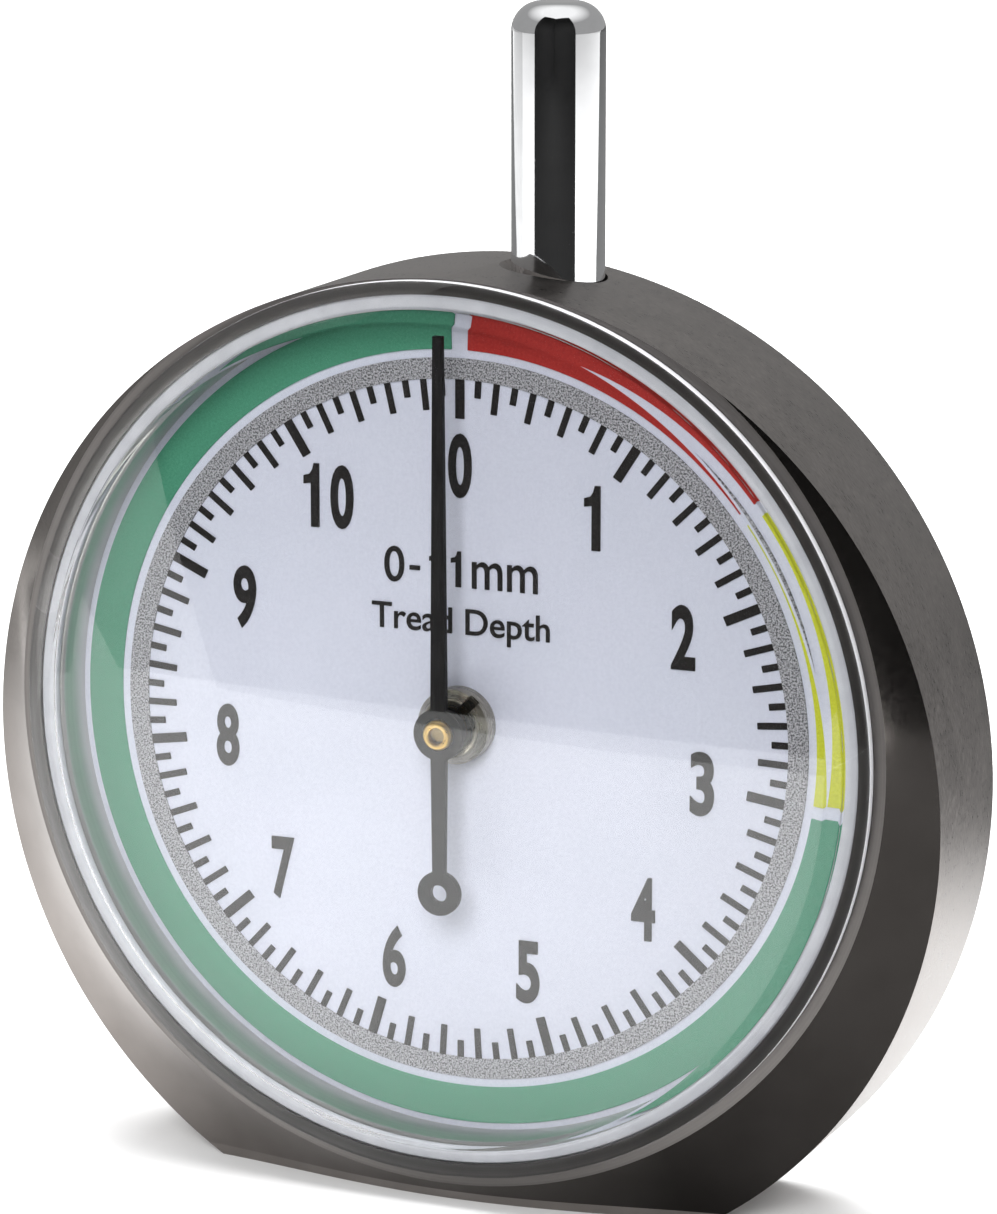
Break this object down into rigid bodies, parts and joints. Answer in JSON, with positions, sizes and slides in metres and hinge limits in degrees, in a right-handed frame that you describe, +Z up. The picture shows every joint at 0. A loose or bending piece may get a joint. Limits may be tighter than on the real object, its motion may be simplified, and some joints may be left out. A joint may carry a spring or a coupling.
{
  "type": "tyre tread depth gauge",
  "caption": "Round dial tread depth gauge: pressing the top plunger pushes a probe pin out of the flat foot, and a rack and pinion turns the pointer.",
  "frame": {"origin": "on the flat foot, under the dial centre and in the plane of the spindle", "axes": "+Z up from the foot towards the plunger, -Y out of the dial face, +X to the right seen from the front"},
  "size_m": [0.046, 0.0109, 0.0542],
  "materials": {
    "case_black_nickel": "brushed side, polished front",
    "cover_black_nickel": "satin",
    "clear_crystal": "clear acrylic",
    "white_nylon": "natural",
    "silver_ring": "satin",
    "dial_white": "white, printed",
    "print_black": "printed ink",
    "print_red": "printed ink",
    "print_yellow": "printed ink",
    "print_green": "printed ink",
    "brass": "turned",
    "steel": "turned",
    "pointer_black": "satin black",
    "chrome": "mirror",
    "spring_steel": "drawn wire"
  },
  "bodies": {
    "housing": {"case_body": "case_black_nickel", "back_cover": "cover_black_nickel", "crystal": "clear_crystal", "crystal_gasket": "white_nylon", "rehaut_ring": "silver_ring", "dial_plate": "dial_white", "scale_print": "print_black", "zone_red": "print_red", "zone_yellow": "print_yellow", "zone_green": "print_green", "movement_plate": "brass", "plate_screw_1": "steel", "plate_screw_2": "steel", "plate_screw_3": "steel", "pillar_upper": "brass", "pillar_lower": "brass", "arbor_cock": "brass", "cock_screw_upper": "steel", "cock_screw_lower": "steel", "rear_bush": "brass", "front_bush": "steel", "upper_bush": "brass", "lower_bush": "brass", "guide_rail": "brass", "spring_post": "brass", "return_spring": "spring_steel"},
    "plunger_unit": {"plunger": "chrome", "spindle_rack": "steel", "probe_pin": "steel", "spring_arm": "brass"},
    "pointer_unit": {"arbor": "steel", "pinion": "brass", "pointer": "pointer_black", "pointer_collet": "brass"}
  },
  "joints": [
    {"name": "plunger_slide", "type": "slide", "parent": "housing", "child": "plunger_unit", "axis": [0, 0, -1], "range_m": [0, 0.011], "stiffness_N_per_m": 150, "springref_m": -0.004, "deforming": ["return_spring"]},
    {"name": "pointer_spin", "type": "hinge", "parent": "housing", "child": "pointer_unit", "pos_m": [0, 0, 0.022], "axis": [0, 1, 0], "range_deg": [0, 361]}
  ],
  "couplings": [
    {"joint": "pointer_spin", "follows": "plunger_slide", "rad_per_m": 571.43}
  ]
}
